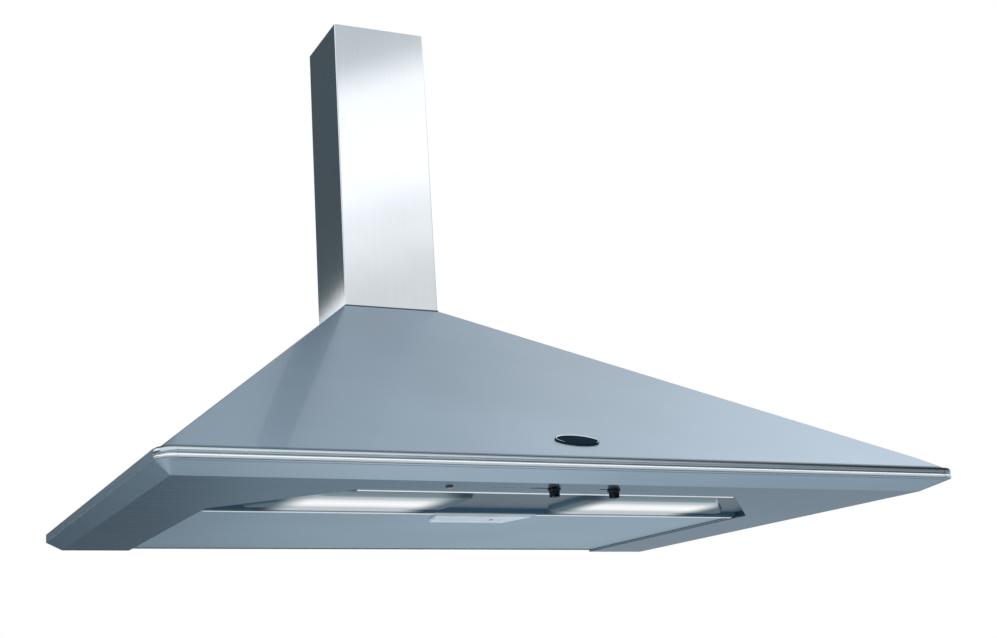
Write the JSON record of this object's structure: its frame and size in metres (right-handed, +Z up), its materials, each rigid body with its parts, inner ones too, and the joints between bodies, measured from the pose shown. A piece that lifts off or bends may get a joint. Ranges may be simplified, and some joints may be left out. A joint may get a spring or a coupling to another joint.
{
  "type": "chimney range hood",
  "caption": "Wall-hung pyramid range hood with a telescopic chimney, slide switches, a row of lamps and a hinged suction panel.",
  "frame": {"origin": "midway between the two hanging slots, in the wall plane", "axes": "+X along the wall to the right when facing the hood, +Y into the wall, +Z up; the room is on -Y"},
  "size_m": [0.9, 0.62, 0.7491],
  "materials": {
    "canopy_steel": "brushed stainless steel, fine grain",
    "chimney_steel": "brushed stainless steel, vertical grain",
    "rail_chrome": "polished chrome",
    "frame_steel": "brushed stainless steel, darker underside",
    "panel_steel": "satin stainless steel",
    "latch_grey": "satin grey moulded plastic",
    "tray_steel": "satin stainless steel",
    "lens": "frosted diffusing glass",
    "reflector": "bright rolled aluminium",
    "lamp_glass": "opal glass",
    "lamp_cap": "threaded lamp cap",
    "socket": "off-white heat-resistant moulding",
    "knob_black": "black moulded plastic",
    "switch_body": "dark moulded switch with metal tags",
    "cover_plastic": "dark grey moulded cover",
    "pilot_red": "dark red translucent plastic",
    "emblem": "dark bare oval plate with a bright rim",
    "galvanised": "galvanised sheet",
    "filter_aluminium": "rolled aluminium channel",
    "filter_mesh": "layered aluminium mesh",
    "catch_steel": "pressed steel",
    "fan_plastic": "light grey moulded fan wheel",
    "motor_paint": "dark motor housing",
    "shaft_steel": "ground steel",
    "rubber": "black rubber",
    "screw_zinc": "zinc-plated steel",
    "duct_plastic": "black moulded collar and flaps",
    "box_plastic": "light grey moulded box",
    "capacitor": "white can",
    "spring_steel": "spring steel"
  },
  "bodies": {
    "hood": {"canopy_shell": "canopy_steel", "canopy_top_plate": "canopy_steel", "wall_panel": "galvanised", "base_frame": "frame_steel", "front_rail": "rail_chrome", "left_rail": "canopy_steel", "right_rail": "canopy_steel", "left_corner_cap": "rail_chrome", "right_corner_cap": "rail_chrome", "emblem_plate": "emblem", "recess_trim": "rail_chrome", "lamp_tray": "tray_steel", "left_lamp_lens": "lens", "right_lamp_lens": "lens", "reflectors": "reflector", "lamp_tubes": "lamp_glass", "lamp_caps": "lamp_cap", "lamp_sockets": "socket", "fan_switch": "switch_body", "light_switch": "switch_body", "control_cover": "cover_plastic", "pilot_lens": "pilot_red", "hinge_brackets": "catch_steel", "latch_keeper": "spring_steel", "filter_carrier": "galvanised", "filter_frames": "filter_aluminium", "filter_meshes": "filter_mesh", "scroll_band": "galvanised", "left_scroll_side": "galvanised", "right_scroll_side": "galvanised", "motor": "motor_paint", "motor_bracket": "galvanised", "motor_grommets": "rubber", "motor_screws": "screw_zinc", "blower_brackets": "galvanised", "blower_screws": "screw_zinc", "capacitor": "capacitor", "capacitor_clip": "spring_steel", "junction_box": "box_plastic", "junction_lid": "box_plastic", "supply_gland": "rubber", "outlet_spigot": "duct_plastic", "flap_pin": "shaft_steel", "chimney_foot_bracket": "galvanised", "chimney_foot_screws": "screw_zinc", "lower_chimney_cover": "chimney_steel", "frame_screws": "screw_zinc"},
    "panel": {"suction_panel": "panel_steel", "panel_pivot_pins": "shaft_steel"},
    "latch": {"panel_latch": "latch_grey"},
    "fan_knob": {"fan_slider": "knob_black"},
    "light_knob": {"light_slider": "knob_black"},
    "fan": {"impeller": "fan_plastic", "motor_shaft": "shaft_steel"},
    "chimney_upper": {"upper_chimney_cover": "chimney_steel", "ceiling_bracket": "galvanised"},
    "flap_front": {"front_flap": "duct_plastic"},
    "flap_rear": {"rear_flap": "duct_plastic"},
    "catch_left": {"left_filter_catch": "catch_steel"},
    "catch_right": {"right_filter_catch": "catch_steel"}
  },
  "joints": [
    {"name": "panel_hinge", "type": "hinge", "parent": "hood", "child": "panel", "pos_m": [0, -0.009, -0.216], "axis": [1, 0, 0], "range_deg": [0, 85], "deforming": ["latch_keeper"]},
    {"name": "latch_slide", "type": "slide", "parent": "panel", "child": "latch", "axis": [0, 1, 0], "range_m": [0, 0.006], "stiffness_N_per_m": 800},
    {"name": "fan_slide", "type": "slide", "parent": "hood", "child": "fan_knob", "axis": [-1, 0, 0], "range_m": [0, 0.024]},
    {"name": "light_slide", "type": "slide", "parent": "hood", "child": "light_knob", "axis": [-1, 0, 0], "range_m": [0, 0.014]},
    {"name": "impeller_spin", "type": "hinge", "parent": "hood", "child": "fan", "pos_m": [0, -0.112, -0.075], "axis": [1, 0, 0], "continuous": true},
    {"name": "chimney_slide", "type": "slide", "parent": "hood", "child": "chimney_upper", "axis": [0, 0, 1], "range_m": [0, 0.3]},
    {"name": "flap_front_swing", "type": "hinge", "parent": "hood", "child": "flap_front", "pos_m": [0, -0.054, 0.081], "axis": [-1, 0, 0], "range_deg": [0, 75]},
    {"name": "flap_rear_swing", "type": "hinge", "parent": "hood", "child": "flap_rear", "pos_m": [0, -0.054, 0.081], "axis": [1, 0, 0], "range_deg": [0, 75]},
    {"name": "catch_left_slide", "type": "slide", "parent": "hood", "child": "catch_left", "axis": [0, 1, 0], "range_m": [0, 0.004], "stiffness_N_per_m": 400},
    {"name": "catch_right_slide", "type": "slide", "parent": "hood", "child": "catch_right", "axis": [0, 1, 0], "range_m": [0, 0.004], "stiffness_N_per_m": 400}
  ]
}
